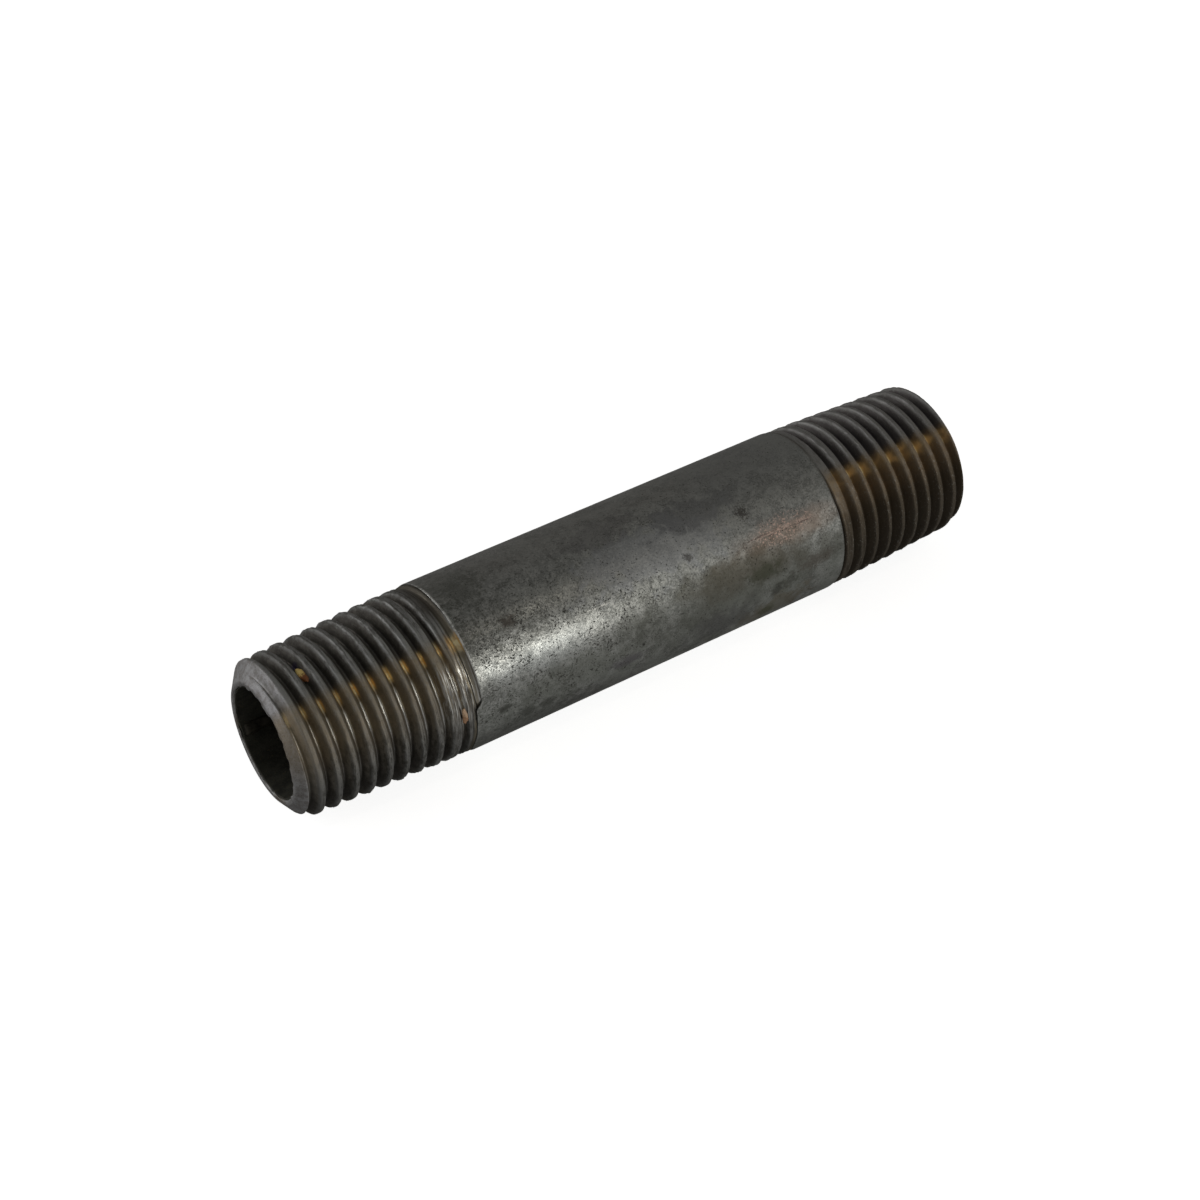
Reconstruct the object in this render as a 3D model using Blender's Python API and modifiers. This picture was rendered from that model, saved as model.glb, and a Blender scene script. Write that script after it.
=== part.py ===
"""Galvanised steel pipe nipple, 1/4 inch nominal, with a tapered male pipe thread on each end.

The nipple lies along X with its middle at the origin. End A faces -X and end B faces +X.
Angles round the nipple are measured about +X, from +Y towards +Z.
"""

import math

import bmesh
import bpy

MM = 0.001

# The pipe
NIPPLE_LENGTH = 63.5 * MM
PIPE_RADIUS = 13.716 * MM / 2
PIPE_WALL = 2.235 * MM
BORE_RADIUS = PIPE_RADIUS - PIPE_WALL
BORE_EDGE_BREAK = 0.09 * MM

# The turned ends that the threads are cut on
END_FACE_RADIUS = 5.0 * MM
CHAMFER_LENGTH = 0.95 * MM
CREST_RADIUS_AT_END = 6.36 * MM
CREST_CONE_LENGTH = 11.4 * MM

# The thread: 18 to the inch, 60 degrees, tapered 1 in 16 on the diameter, right-hand
PITCH = 25.4 * MM / 18
PITCH_RADIUS_AT_END = 12.1257 * MM / 2
TAPER = 1 / 32
FLANK_SLOPE = math.tan(math.radians(30))
ROOT_FLAT = 0.10 * MM
CUTTER_HEIGHT = 0.50 * MM  # above the pitch line: past the crests, and short of the next turn
FULL_THREAD_LENGTH = 10.2 * MM
THREAD_LENGTH_A = 15.1 * MM
THREAD_LENGTH_B = 14.0 * MM
FACE_CROSSING_A = math.radians(-36)  # where the groove's centre line crosses the end face
FACE_CROSSING_B = math.radians(36)
LEAD_IN_TURNS = 0.65
GROOVE_TURNS = 12

# The zinc, and the bead of the welded seam
ZINC_THICKNESS = 0.085 * MM
LAYER_GAP = 0.012 * MM
ZINC_EDGE_BREAK = 0.04 * MM
BORE_ZINC_INSET = 0.12 * MM
SEAM_ANGLE = math.radians(-27)
BEAD_HALF_ANGLE = math.radians(12)
BEAD_RADIUS = BORE_RADIUS - 0.028 * MM  # its outer side clears the flats of the bore
BEAD_EDGE_HEIGHT = 0.05 * MM
BEAD_CROWN_HEIGHT = 0.30 * MM
BEAD_STEPS = 8

FACETS = 40
SHARP_ANGLE = math.radians(25)
MERGE_DISTANCE = 0.00001


def clear_scene():
    for obj in list(bpy.data.objects):
        bpy.data.objects.remove(obj, do_unlink=True)


def new_collection(name):
    collection = bpy.data.collections.new(name)
    bpy.context.scene.collection.children.link(collection)
    return collection


def metal(name, colour, roughness, metallic):
    made = bpy.data.materials.new(name)
    made.use_nodes = True
    shader = made.node_tree.nodes["Principled BSDF"]
    shader.inputs["Base Color"].default_value = (*colour, 1.0)
    shader.inputs["Roughness"].default_value = roughness
    shader.inputs["Metallic"].default_value = metallic
    return made


def on_circle(radius, angle):
    """(y, z) of a point at this radius and angle."""
    return radius * math.cos(angle), radius * math.sin(angle)


def profile_object(name, points, angle, collection):
    """A closed outline of (x, radius) points, in the half plane at this angle round the X axis."""
    mesh = bpy.data.meshes.new(name)
    corners = [(x, *on_circle(radius, angle)) for x, radius in points]
    count = len(corners)
    mesh.from_pydata(corners, [(i, (i + 1) % count) for i in range(count)], [])
    obj = bpy.data.objects.new(name, mesh)
    collection.objects.link(obj)
    return obj


def screw(obj, turns, advance):
    """Turns the outline round X, moving it along X by advance on each turn."""
    modifier = obj.modifiers.new("screw", "SCREW")
    modifier.axis = "X"
    modifier.angle = 2 * math.pi
    modifier.iterations = turns
    modifier.screw_offset = advance
    modifier.steps = FACETS
    modifier.render_steps = FACETS
    modifier.use_merge_vertices = advance == 0
    modifier.merge_threshold = MERGE_DISTANCE
    return modifier


def turned_ring(name, points, collection):
    """A solid ring, turned from a closed outline whose outer side runs towards -X."""
    obj = profile_object(name, points, 0.0, collection)
    screw(obj, turns=1, advance=0.0)
    return obj


def crest_cone(distance):
    """Radius of the turned cone at this distance from the end face."""
    share = min(distance / CREST_CONE_LENGTH, 1.0)
    return CREST_RADIUS_AT_END + share * (PIPE_RADIUS - CREST_RADIUS_AT_END)


def blank_pipe(collection):
    """The length of pipe before threading: coned and chamfered outside, edges broken inside."""
    half = NIPPLE_LENGTH / 2
    end_b = [
        (half - CREST_CONE_LENGTH, PIPE_RADIUS),
        (half - CHAMFER_LENGTH, crest_cone(CHAMFER_LENGTH)),
        (half, END_FACE_RADIUS),
        (half, BORE_RADIUS + BORE_EDGE_BREAK),
        (half - BORE_EDGE_BREAK, BORE_RADIUS),
    ]
    end_a = [(-x, radius) for x, radius in end_b]
    return turned_ring("steel_pipe", end_a + end_b[::-1], collection)


def run_out_lift(distance, thread_length):
    """How far the groove's bottom has risen: none on the full threads, out of the metal at their end."""
    if distance <= FULL_THREAD_LENGTH:
        return 0.0
    full_depth = PIPE_RADIUS - groove_bottom(FULL_THREAD_LENGTH)
    share = (distance - FULL_THREAD_LENGTH) / (thread_length - FULL_THREAD_LENGTH)
    return share * full_depth


def groove_bottom(distance):
    """Radius of the groove's bottom on the full threads, at this distance from the end face."""
    depth_below_pitch_line = (PITCH / 4 - ROOT_FLAT / 2) / FLANK_SLOPE
    return PITCH_RADIUS_AT_END + distance * TAPER - depth_below_pitch_line


def groove_section():
    """The V of the groove as (x, radius), flat at its bottom and closed above the crests."""
    half_top = PITCH / 4 + CUTTER_HEIGHT * FLANK_SLOPE
    bottom = groove_bottom(0.0)
    top = PITCH_RADIUS_AT_END + CUTTER_HEIGHT
    return [(-ROOT_FLAT / 2, bottom), (ROOT_FLAT / 2, bottom), (half_top, top), (-half_top, top)]


def taper_and_lift(mesh, thread_length):
    """Moves each point of the straight helix outwards, onto the taper and out along the run-out."""
    for vertex in mesh.vertices:
        distance, y, z = vertex.co
        radius = math.hypot(y, z)
        new_radius = radius + distance * TAPER + run_out_lift(distance, thread_length)
        vertex.co = (distance, y * new_radius / radius, z * new_radius / radius)


def cap_ends(mesh):
    shape = bmesh.new()
    shape.from_mesh(mesh)
    bmesh.ops.holes_fill(shape, edges=[edge for edge in shape.edges if edge.is_boundary])
    bmesh.ops.triangulate(shape, faces=shape.faces)
    bmesh.ops.recalc_face_normals(shape, faces=shape.faces)
    shape.to_mesh(mesh)
    shape.free()


def groove_cutter(name, face_crossing, thread_length, collection):
    """The helical groove of one thread, as a solid to cut with. Its +X points into the nipple."""
    start_angle = face_crossing - LEAD_IN_TURNS * 2 * math.pi
    start = -LEAD_IN_TURNS * PITCH
    section = [(start + x, radius) for x, radius in groove_section()]
    guide = profile_object(name + "_guide", section, start_angle, collection)
    screw(guide, turns=GROOVE_TURNS, advance=PITCH)
    graph = bpy.context.evaluated_depsgraph_get()
    mesh = bpy.data.meshes.new_from_object(guide.evaluated_get(graph))
    bpy.data.objects.remove(guide, do_unlink=True)
    taper_and_lift(mesh, thread_length)
    cap_ends(mesh)
    cutter = bpy.data.objects.new(name, mesh)
    collection.objects.link(cutter)
    cutter.hide_render = True
    cutter.display_type = "WIRE"
    return cutter


def cut(obj, cutter):
    modifier = obj.modifiers.new("cut " + cutter.name, "BOOLEAN")
    modifier.operation = "DIFFERENCE"
    modifier.solver = "EXACT"
    modifier.object = cutter


def steel_pipe(parts, cutters):
    """The whole length of pipe with a thread cut on each end."""
    pipe = blank_pipe(parts)
    groove_a = groove_cutter("groove_a", FACE_CROSSING_A, THREAD_LENGTH_A, cutters)
    groove_a.location.x = -NIPPLE_LENGTH / 2
    groove_b = groove_cutter("groove_b", FACE_CROSSING_B, THREAD_LENGTH_B, cutters)
    groove_b.location.x = NIPPLE_LENGTH / 2
    groove_b.rotation_euler.z = math.pi
    cut(pipe, groove_a)
    cut(pipe, groove_b)
    return pipe


def outer_zinc_coat(collection):
    """The zinc left on the plain barrel between the two threads."""
    start = -NIPPLE_LENGTH / 2 + THREAD_LENGTH_A
    end = NIPPLE_LENGTH / 2 - THREAD_LENGTH_B
    inside = PIPE_RADIUS + LAYER_GAP
    outside = PIPE_RADIUS + ZINC_THICKNESS
    outline = [
        (start + ZINC_EDGE_BREAK, outside),
        (start, outside - ZINC_EDGE_BREAK),
        (start, inside),
        (end, inside),
        (end, outside - ZINC_EDGE_BREAK),
        (end - ZINC_EDGE_BREAK, outside),
    ]
    return turned_ring("outer_zinc_coat", outline, collection)


def bead_height(offset):
    """Height of the bead at this angle from the seam: a low crown with blunt edges."""
    crown = math.cos(offset / BEAD_HALF_ANGLE * math.pi / 2) ** 2
    return BEAD_EDGE_HEIGHT + BEAD_CROWN_HEIGHT * crown


def bead_offsets():
    return [BEAD_HALF_ANGLE * (2 * i / BEAD_STEPS - 1) for i in range(BEAD_STEPS + 1)]


def extruded_section(name, outlines, length, collection):
    """A solid of constant section along X, from closed outlines of (radius, angle) points."""
    curve = bpy.data.curves.new(name, "CURVE")
    curve.dimensions = "2D"
    curve.fill_mode = "BOTH"
    curve.extrude = length / 2
    for outline in outlines:
        spline = curve.splines.new("POLY")
        spline.points.add(len(outline) - 1)
        spline.use_cyclic_u = True
        for point, (radius, angle) in zip(spline.points, outline):
            y, z = on_circle(radius, angle)
            point.co = (-z, y, 0.0, 1.0)
    obj = bpy.data.objects.new(name, curve)
    obj.rotation_euler.y = math.pi / 2
    collection.objects.link(obj)
    return obj


def weld_bead(collection):
    """The ridge of upset metal that the welded seam leaves along the bore."""
    outer = [(BEAD_RADIUS, SEAM_ANGLE + offset) for offset in bead_offsets()]
    inner = [(BEAD_RADIUS - bead_height(o), SEAM_ANGLE + o) for o in reversed(bead_offsets())]
    length = NIPPLE_LENGTH - 2 * BORE_ZINC_INSET
    return extruded_section("weld_bead", [outer + inner], length, collection)


def bore_contour(depth):
    """The bore's surface with the bead on it, this far in from the steel, as (radius, angle) points."""
    over_bead = [(BEAD_RADIUS - bead_height(o), SEAM_ANGLE + o) for o in bead_offsets()]
    step = 2 * math.pi / FACETS
    plain = [(BORE_RADIUS, SEAM_ANGLE + i * step) for i in range(2, FACETS - 1)]
    return [(radius - depth, angle) for radius, angle in over_bead + plain]


def bore_zinc_coat(collection):
    """The zinc inside the pipe, over the bore and the bead."""
    outer = bore_contour(LAYER_GAP)
    inner = bore_contour(LAYER_GAP + ZINC_THICKNESS)
    length = NIPPLE_LENGTH - 2 * BORE_ZINC_INSET
    return extruded_section("bore_zinc_coat", [outer, inner], length, collection)


def shade_round(obj):
    """Smooth across the facets, sharp at real edges, on a mesh that is already made."""
    if obj.type == "MESH":
        obj.data.shade_smooth()
        obj.data.set_sharp_from_angle(angle=SHARP_ANGLE)


def main():
    clear_scene()
    parts = new_collection("threaded_pipe_nipple")
    cutters = new_collection("cutters")
    cutters.hide_render = True

    bare_steel = metal("threaded_steel", (0.17, 0.155, 0.135), 0.38, 0.9)
    zinc = metal("weathered_zinc", (0.27, 0.275, 0.265), 0.52, 0.75)
    bore_zinc = metal("bore_zinc", (0.09, 0.08, 0.065), 0.65, 0.6)
    weld = metal("weld_metal", (0.12, 0.10, 0.08), 0.55, 0.8)

    steel_pipe(parts, cutters).data.materials.append(bare_steel)
    outer_zinc_coat(parts).data.materials.append(zinc)
    bore_zinc_coat(parts).data.materials.append(bore_zinc)
    weld_bead(parts).data.materials.append(weld)
    for obj in parts.objects:
        shade_round(obj)


main()
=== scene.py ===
"""A galvanised steel pipe nipple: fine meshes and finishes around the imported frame.

Lengths are in millimetres until they reach a mesh. The nipple lies along X; end A faces -X and
end B faces +X. Angles round it are measured about +X, from +Y towards +Z. A side is the same
angle in degrees, measured from +Z instead.
"""

import math
from types import SimpleNamespace

import bpy
import numpy as np
from mathutils import Matrix, Vector


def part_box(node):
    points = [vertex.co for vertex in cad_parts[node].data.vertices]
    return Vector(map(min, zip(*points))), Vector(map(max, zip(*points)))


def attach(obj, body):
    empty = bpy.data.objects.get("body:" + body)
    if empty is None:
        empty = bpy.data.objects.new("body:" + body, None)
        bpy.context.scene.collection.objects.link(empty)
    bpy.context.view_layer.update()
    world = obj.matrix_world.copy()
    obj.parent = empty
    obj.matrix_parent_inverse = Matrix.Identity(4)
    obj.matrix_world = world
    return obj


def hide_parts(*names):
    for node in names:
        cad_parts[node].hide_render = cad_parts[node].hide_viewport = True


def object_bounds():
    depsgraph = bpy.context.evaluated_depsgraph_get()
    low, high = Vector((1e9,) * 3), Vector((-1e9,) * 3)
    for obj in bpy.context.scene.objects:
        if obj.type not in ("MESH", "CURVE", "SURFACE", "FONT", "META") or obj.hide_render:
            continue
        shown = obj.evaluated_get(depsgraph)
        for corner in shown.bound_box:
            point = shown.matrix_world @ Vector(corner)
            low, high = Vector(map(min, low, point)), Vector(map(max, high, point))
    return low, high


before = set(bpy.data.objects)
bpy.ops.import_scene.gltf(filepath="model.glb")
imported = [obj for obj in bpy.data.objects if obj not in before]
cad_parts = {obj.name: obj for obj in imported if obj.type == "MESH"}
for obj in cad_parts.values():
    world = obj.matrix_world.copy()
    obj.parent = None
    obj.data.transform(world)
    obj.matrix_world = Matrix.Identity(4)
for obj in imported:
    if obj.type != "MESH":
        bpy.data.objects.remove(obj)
cad_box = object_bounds()

MM = 0.001
TURN = 2 * math.pi

# -------- sizes, from the frame

HALF_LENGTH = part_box("steel_pipe")[1].x / MM
PIPE_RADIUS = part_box("steel_pipe")[1].z / MM
ZINC_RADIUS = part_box("outer_zinc_coat")[1].z / MM
THREAD_LENGTH = {"a": HALF_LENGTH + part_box("outer_zinc_coat")[0].x / MM,
                 "b": HALF_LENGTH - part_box("outer_zinc_coat")[1].x / MM}
BARREL_START = THREAD_LENGTH["a"] - HALF_LENGTH
BARREL_LENGTH = 2 * HALF_LENGTH - THREAD_LENGTH["a"] - THREAD_LENGTH["b"]
# The gap between the steel and each coat of zinc, which stands for their bond
BOND_GAP = 0.012
BORE_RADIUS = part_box("bore_zinc_coat")[1].z / MM + BOND_GAP
FLOOR = cad_box[0].z / MM

# The thread, as the record states it; the taper is the growth of the radius along the pipe
PITCH = 25.4 / 18
PITCH_RADIUS_AT_END = 12.1257 / 2
TAPER = 1 / 32
COT_30 = math.sqrt(3)
FULL_THREAD = 10.2
CONE_LENGTH = 11.4
CREST_AT_END = 6.36
FACE_RADIUS = 5.0
CHAMFER_LENGTH = 0.95
# Half the width of the flat bottom of the groove
ROOT_FLAT = 0.05
# The groove would run out to nothing this far past the edge of the zinc
RUN_OUT_PAST_EDGE = {"a": 1.0, "b": 2.4}
# The angle at which the middle of the groove meets the face, in the end's own frame
FACE_CROSSING = {"a": math.radians(-36), "b": math.radians(36)}
SEAM_ANGLE = math.radians(-27)

# Fine lines scored round the run-out of end A: distance from the face and width
SCORE_LINES = ((13.9, 0.13), (14.24, 0.09), (14.58, 0.11))
SCORE_DEPTH = 0.045

# The rows of points from the chamfer into the bore: the share of the way in from the flat ring's
# outer edge, the depth below the face, and the share of the way back to the bore's wall
FACE_ROWS = ((0.35, 0.0, 0.0), (0.8, 0.01, 0.0), (1.0, 0.03, 0.0), (1.0, 0.075, 0.5), (1.0, 0.1, 1.0))

# The threads' mesh: columns round the pipe, rows along it, the slivers closed up at its ends, and how
# far it goes on under the zinc
COLUMNS = 192
ROWS_PER_PITCH = 22
SNAP = 0.02
THREAD_UNDER_ZINC = 0.25

# Noise is read on cylinders about as wide as what it is for, and end B reads its own stretch of it
THREAD_NOISE_RADIUS = 6.4
FACE_NOISE_RADIUS = 4.7
LINING_NOISE_RADIUS = 4.5
BARREL_NOISE_RADIUS = 6.9
NOISE_SHIFT = {"a": 0.0, "b": 70.0}
OCTAVE_SHIFT = 17.3

# The zinc on the barrel and in the bore
NOTCH_DEPTH = 0.52
EDGE_THICKNESS = 0.006
PITS = 420
NEAR_SHARE = 0.42
LINING_SETBACK = 0.12
RIDGE_SETBACK = 0.13


# -------- number helpers

def clamp(value, low=0.0, high=1.0):
    return np.minimum(np.maximum(value, low), high)


def ease(low, high, value):
    """0 up to low, 1 from high, and a smooth rise between them."""
    share = clamp((value - low) / (high - low))
    return share * share * (3 - 2 * share)


def bump(centre, width, value):
    """1 at the centre, falling to 0 at this distance from it."""
    return 1 - ease(0.0, 1.0, np.abs(value - centre) / width)


def soft_min(a, b, blend):
    share = clamp(0.5 + 0.5 * (b - a) / blend)
    return b * (1 - share) + a * share - blend * share * (1 - share)


def soft_max(a, b, blend):
    return -soft_min(-a, -b, blend)


def lattice(ix, iy, iz, seed):
    """A random number from -1 to 1 at each whole-numbered point; the large numbers scramble its bits."""
    n = (ix * 73856093) ^ (iy * 19349663) ^ (iz * 83492791) ^ (seed * 40503 + 9176)
    n = (n & 0xFFFFFFFF) * 0x2C1B3C6D & 0xFFFFFFFF
    n = (n ^ (n >> 15)) * 0x297A2D39 & 0xFFFFFFFF
    n = n ^ (n >> 14)
    return n / 0x7FFFFFFF - 1.0


def noise(points, scale, seed, octaves=1):
    """Smooth noise from about -1 to 1; scale is the size of its features, one number or three."""
    total = 0.0
    for octave in range(octaves):
        p = points / (np.asarray(scale, float) / 2 ** octave) + OCTAVE_SHIFT * octave
        cell = np.floor(p).astype(np.int64)
        f = p - cell
        f = f * f * (3 - 2 * f)
        value = 0.0
        for corner in range(8):
            dx, dy, dz = corner & 1, corner >> 1 & 1, corner >> 2
            weight = (f[..., 0] if dx else 1 - f[..., 0]) * (f[..., 1] if dy else 1 - f[..., 1])
            weight = weight * (f[..., 2] if dz else 1 - f[..., 2])
            at_corner = lattice(cell[..., 0] + dx, cell[..., 1] + dy, cell[..., 2] + dz, seed)
            value = value + weight * at_corner
        total = total + value / 2 ** octave
    return total


def on_pipe(x, radius, angle):
    return np.stack([x, radius * np.cos(angle), radius * np.sin(angle)], axis=-1)


def full_turn(columns):
    """The angle of each column."""
    return np.arange(columns) / columns * TURN


def side(angle):
    """The side at this angle, from -180 to 180: 44 faces the camera, and 90 faces -Y."""
    return (np.degrees(angle) - 90 + 180) % 360 - 180


def spot(x, degrees, radius):
    """The point on the pipe at this side."""
    angle = math.radians(degrees + 90)
    return (x, radius * math.cos(angle), radius * math.sin(angle))


# -------- meshes

def new_object(name, data):
    obj = bpy.data.objects.new(name, data)
    bpy.context.scene.collection.objects.link(obj)
    return obj


def build(name, replaced, points, faces, corners, layers, material):
    """One piece from points in millimetres, faces, the UV of each face corner, and number layers."""
    mesh = bpy.data.meshes.new(name)
    mesh.from_pydata((np.asarray(points) * MM).tolist(), [], faces)
    uv = mesh.uv_layers.new(name="OFBake")
    uv.data.foreach_set("uv", np.asarray(corners, np.float32).reshape(-1))
    for key, values in layers.items():
        layer = mesh.attributes.new(key, "FLOAT", "POINT")
        layer.data.foreach_set("value", np.asarray(values, np.float32))
    mesh.polygons.foreach_set("use_smooth", [True] * len(mesh.polygons))
    mesh.materials.append(material)
    mesh.validate()
    mesh.update()
    piece = new_object(name, mesh)
    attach(piece, "root")
    if replaced:
        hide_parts(replaced)
    return piece


class Shell:
    """A closed skin built of rows of points, each row a full turn of the pipe.

    Each part of a skin has its own strip of the UV square, given by the V of its two sides.
    """

    def __init__(self, columns, layer_names):
        self.columns = columns
        self.points, self.faces, self.corners = [], [], []
        self.layers = {key: [] for key in layer_names}
        self.count = 0

    def add(self, points, layers):
        """Adds points and returns their numbers."""
        points = np.asarray(points).reshape(-1, 3)
        self.points.append(points)
        for key, values in self.layers.items():
            values.append(np.broadcast_to(layers.get(key, 0.0), (len(points),)))
        first = self.count
        self.count += len(points)
        return np.arange(first, self.count)

    def add_grid(self, points, layers):
        """Adds rows of points and returns their numbers, row by row."""
        flat = {key: values.reshape(-1) for key, values in layers.items()}
        return self.add(points, flat).reshape(points.shape[:-1])

    def centre(self, ids):
        return np.concatenate(self.points)[ids].mean(axis=0)

    def quad(self, ids, uvs):
        """Adds one face, leaving out corners that fall on the one before."""
        kept = [i for i in range(4) if ids[i] != ids[i - 1]]
        if len(kept) < 3 or len({ids[i] for i in kept}) < len(kept):
            return
        self.faces.append([int(ids[i]) for i in kept])
        self.corners.extend(uvs[i] for i in kept)

    def band(self, lower, upper, v_lower, v_upper, flip=False):
        """Faces between two rows of numbers."""
        n = self.columns
        for j in range(n):
            k = (j + 1) % n
            u0, u1 = j / n, (j + 1) / n
            ids = [lower[j], upper[j], upper[k], lower[k]]
            uvs = [(u0, v_lower), (u0, v_upper), (u1, v_upper), (u1, v_lower)]
            if flip:
                ids, uvs = ids[::-1], uvs[::-1]
            self.quad(ids, uvs)

    def bands(self, rows, v, flip=False):
        """Faces between each row of numbers and the next, from the V of each row."""
        for i in range(len(rows) - 1):
            self.band(rows[i], rows[i + 1], v[i], v[i + 1], flip)

    def finish(self, name, replaced, material):
        points = np.concatenate(self.points)
        layers = {key: np.concatenate(values) for key, values in self.layers.items()}
        return build(name, replaced, points, self.faces, self.corners, layers, material)


# -------- the threads

def world_angle(end, angle):
    """An angle of an end's own frame, as an angle of the nipple's."""
    return angle if end == "a" else math.pi - angle


def place(end, distance, radius, angle):
    """Points of an end, from its own frame into the nipple's."""
    points = on_pipe(distance - HALF_LENGTH, radius, angle)
    return points if end == "a" else points * (-1, -1, 1)


def crest_envelope(distance):
    """The turned end that the thread is cut on: a chamfer, then a cone up to the pipe's own size."""
    chamfer = FACE_RADIUS + distance * (CREST_AT_END - FACE_RADIUS) / CHAMFER_LENGTH
    cone = CREST_AT_END + clamp(distance / CONE_LENGTH) * (PIPE_RADIUS - CREST_AT_END)
    return soft_min(chamfer, cone, 0.1)


def groove_cut(end, distance, across):
    """(radius of the cut, radius of its flat bottom), where across is the distance from its middle."""
    run_out = THREAD_LENGTH[end] + RUN_OUT_PAST_EDGE[end] - FULL_THREAD
    share = clamp((distance - FULL_THREAD) / run_out)
    pitch_line = PITCH_RADIUS_AT_END + distance * TAPER
    bottom_depth = (PITCH / 4 - ROOT_FLAT) * COT_30
    full_depth = PIPE_RADIUS - (PITCH_RADIUS_AT_END + FULL_THREAD * TAPER - bottom_depth)
    flanks = pitch_line - PITCH / 4 * COT_30 + np.abs(across) * COT_30 + 0.38 * ease(0, 0.65, share)
    bottom = pitch_line - bottom_depth + 0.01 + share ** 1.6 * full_depth * 0.96
    return soft_max(flanks, bottom, 0.07 - 0.03 * ease(0, 0.5, share)), bottom


def torn_crests(distance, across, where, low_side, late):
    """The radius of the turned end with the die's marks: dents and burrs, and tears late in the thread."""
    envelope = crest_envelope(distance)
    envelope = envelope - 0.01 - 0.012 * noise(where, (2.0, 1.6, 1.6), 13, 2)
    dent = 0.045 * clamp(noise(where, (0.42, 0.32, 0.32), 16, 2) - 0.05) * ease(0.3, 1.2, distance)
    envelope = envelope - dent
    burr = clamp(noise(where, (0.35, 0.5, 0.5), 17, 2) * 2.4 - 1.3) * ease(0.8, 1.6, distance)
    burr = 0.06 * burr * (1 - ease(12, 14, distance))
    envelope = np.minimum(envelope + burr, PIPE_RADIUS + 0.03)
    tear = clamp(noise(where, (0.22, 1.1, 1.1), 11, 2) * 1.3 - 0.15)
    nick = clamp(noise(where, (0.5, 0.5, 0.5), 12, 1) * 2.2 - 1.25)
    envelope = envelope - 0.09 * tear * late * (0.2 + 0.8 * low_side) - 0.06 * nick
    # The die's chaser has split the crest along its top here and there
    split = bump(PITCH / 2 - 0.03, 0.1, np.abs(across)) * late * low_side
    return envelope - 0.085 * split * ease(-0.5, 0.3, noise(where, (3.0, 2.5, 2.5), 14, 1))


def score_lines(distance, angle, where):
    """1 in the middle of the fine lines round end A's run-out, 0 away from them."""
    score = np.zeros_like(distance)
    for at, width in SCORE_LINES:
        wander = at + 0.08 * np.sin(angle + 2 * at) + 0.04 * noise(where, (9, 2.5, 2.5), 18, 2)
        strength = 0.65 + 0.35 * noise(where, (9, 1.3, 1.3), 19, 1)
        score = np.maximum(score, bump(wander, width, distance) * strength)
    return score


def thread(end, distance, angle):
    """(radius, layers) of the threaded surface, at a distance from the face and an angle of the end."""
    phase = distance / PITCH - (angle - FACE_CROSSING[end]) / TURN
    across = (phase - np.round(phase)) * PITCH
    round_side = side(world_angle(end, angle))
    low_side = clamp(ease(52, 66, round_side) + ease(100, 170, -round_side))
    late = ease(5.0, 11.0, distance)
    where = on_pipe(distance + NOISE_SHIFT[end], THREAD_NOISE_RADIUS, angle)

    cut, bottom = groove_cut(end, distance, across)
    cut = cut + 0.01 * noise(where, (0.16, 1.5, 1.5), 15, 2)
    score = score_lines(distance, angle, where) if end == "a" else np.zeros_like(distance)
    envelope = torn_crests(distance, across, where, low_side, late) - SCORE_DEPTH * score
    radius = soft_min(cut, envelope, 0.045)

    depth = clamp((envelope - radius) / 0.85)
    groove_depth = np.maximum(envelope - bottom, 0.1)
    layers = {
        "depth": depth,
        "groove": clamp((envelope - radius) / groove_depth),
        "edge": clamp(1 - np.abs(radius - (envelope - 0.03)) / 0.05) * (depth > 0.004),
        "late": late,
        "score": score,
        "reach": distance,
        "side": round_side,
    }
    return radius, layers


def thread_phases():
    """Where the rows of one pitch lie: closer together at the crest and at the root."""
    even = np.arange(ROWS_PER_PITCH) / ROWS_PER_PITCH
    return even - 0.035 * np.sin(2 * TURN * even) / 2


def thread_skin(shell, end, v_low, v_high):
    """The threaded surface, on rows that follow the helix. Returns its rows of numbers at both ends."""
    length = THREAD_LENGTH[end] + THREAD_UNDER_ZINC
    n, per = COLUMNS, ROWS_PER_PITCH
    angle = full_turn(n)
    index = np.arange(-2 * per, math.ceil((length / PITCH + 2) * per))
    # The row of a whole-numbered base runs along the middle of the groove
    base = index // per + thread_phases()[index % per]
    lead = -FACE_CROSSING[end] / TURN % 1.0
    distance = PITCH * (base[:, None] + angle / TURN + lead)
    distance = np.where(distance < SNAP, 0.0, distance)
    distance = np.where(distance > length - SNAP, length, distance)
    angles = np.broadcast_to(angle, distance.shape)
    inside = (distance > 0) & (distance < length)

    def row(at):
        at = np.full(n, at)
        radius, layers = thread(end, at, angle)
        return shell.add(place(end, at, radius, angle), layers)

    start, stop = row(0.0), row(length)
    radius, layers = thread(end, distance[inside], angles[inside])
    ids = np.empty(distance.shape, np.int64)
    ids[inside] = shell.add(place(end, distance[inside], radius, angles[inside]), layers)
    ids = np.where(distance <= 0, start, ids)
    ids = np.where(distance >= length, stop, ids)
    v = v_low + (v_high - v_low) * distance / length

    for i in range(len(index) - 1 - per):
        for j in range(n):
            # Past the last column comes the first one, a pitch further on
            i2, j2 = (i + per, 0) if j == n - 1 else (i, j + 1)
            u0, u1 = j / n, (j + 1) / n
            quad = [ids[i, j], ids[i2, j2], ids[i2 + 1, j2], ids[i + 1, j]]
            uvs = [(u0, v[i, j]), (u1, v[i2, j2]), (u1, v[i2 + 1, j2]), (u0, v[i + 1, j])]
            shell.quad(quad, uvs)
    return start, stop


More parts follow.
